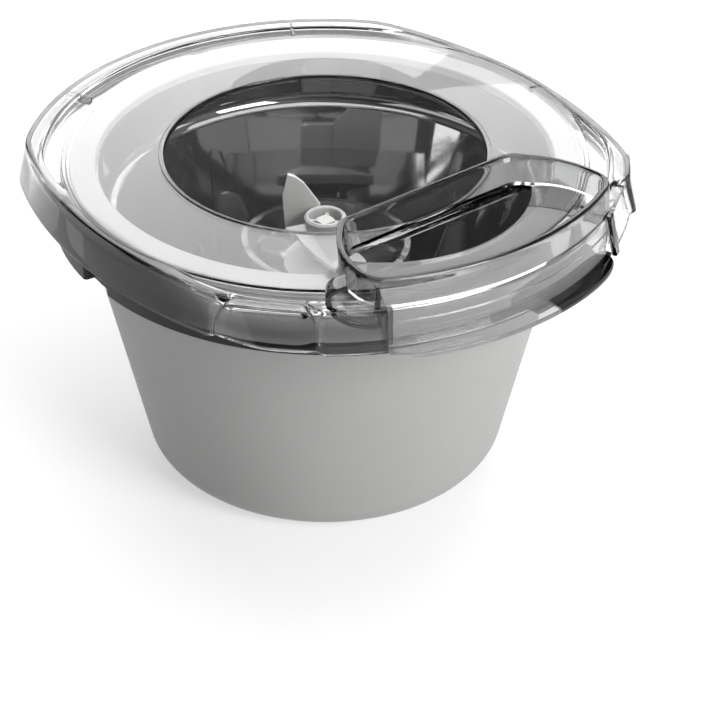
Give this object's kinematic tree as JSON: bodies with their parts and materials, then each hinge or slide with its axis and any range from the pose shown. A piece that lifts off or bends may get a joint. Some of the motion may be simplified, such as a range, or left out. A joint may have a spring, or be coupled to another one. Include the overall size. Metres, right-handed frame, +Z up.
{
  "type": "frozen dessert maker attachment",
  "caption": "Ice cream maker attachment for a stand mixer: double-walled freezing bowl, clear lid with ingredient chute, adaptor ring and turning paddle.",
  "frame": {"origin": "on the bowl's vertical axis, on the flat face the bowl stands on", "axes": "+Z up along the bowl and paddle axis, ingredient chute towards -Y, +X to the right seen from the chute side"},
  "size_m": [0.2196, 0.2483, 0.1446],
  "materials": {
    "body_grey": "fine satin moulded plastic",
    "white_plastic": "smooth semi-gloss moulded plastic",
    "dark_anodised": "dark glossy hard-anodised liner",
    "foam": "closed-cell foam",
    "gel": "sealed coolant gel",
    "seal_rubber": "moulded silicone",
    "steel": "turned stainless steel",
    "washer_plastic": "acetal",
    "ring_black": "satin black moulded plastic",
    "clear_plastic": "polished clear plastic, very slightly smoky",
    "paddle_plastic": "off-white moulded plastic",
    "paddle_smoke": "smoky grey translucent plastic",
    "wiper_rubber": "soft dark scraper edge"
  },
  "bodies": {
    "bowl": {"outer_shell": "body_grey", "insulation_sleeve": "foam", "coolant_gel": "gel", "inner_liner": "dark_anodised", "rim_cap": "white_plastic", "liner_seal": "seal_rubber", "locating_pin": "steel", "pin_nut": "steel", "thrust_washer": "washer_plastic", "fill_plug": "seal_rubber"},
    "adaptor_ring": {"adaptor_ring": "ring_black", "turning_tab": "ring_black", "rest_lug_1": "ring_black", "rest_lug_3": "ring_black"},
    "lid": {"lid_plate": "clear_plastic", "lid_trough": "clear_plastic", "lid_skirt": "clear_plastic", "feed_chute": "clear_plastic", "chute_front": "clear_plastic"},
    "paddle": {"paddle_hub": "paddle_plastic", "drive_insert": "paddle_plastic", "hub_bush": "washer_plastic", "paddle_ring": "paddle_smoke", "paddle_fin": "paddle_plastic", "auger_flight": "paddle_plastic", "paddle_blade_1": "paddle_smoke", "paddle_blade_2": "paddle_smoke", "paddle_blade_3": "paddle_smoke", "wiper_edge_1": "wiper_rubber", "wiper_edge_2": "wiper_rubber", "wiper_edge_3": "wiper_rubber"}
  },
  "joints": [
    {"name": "paddle_spin", "type": "hinge", "parent": "bowl", "child": "paddle", "pos_m": [0, 0, 0.02], "axis": [0, 0, 1], "continuous": true},
    {"name": "ring_twist", "type": "hinge", "parent": "bowl", "child": "adaptor_ring", "pos_m": [0, 0, 0.11], "axis": [0, 0, 1], "range_deg": [0, 18]},
    {"name": "lid_lift", "type": "slide", "parent": "bowl", "child": "lid", "axis": [0, 0, 1], "range_m": [0, 0.08]}
  ]
}
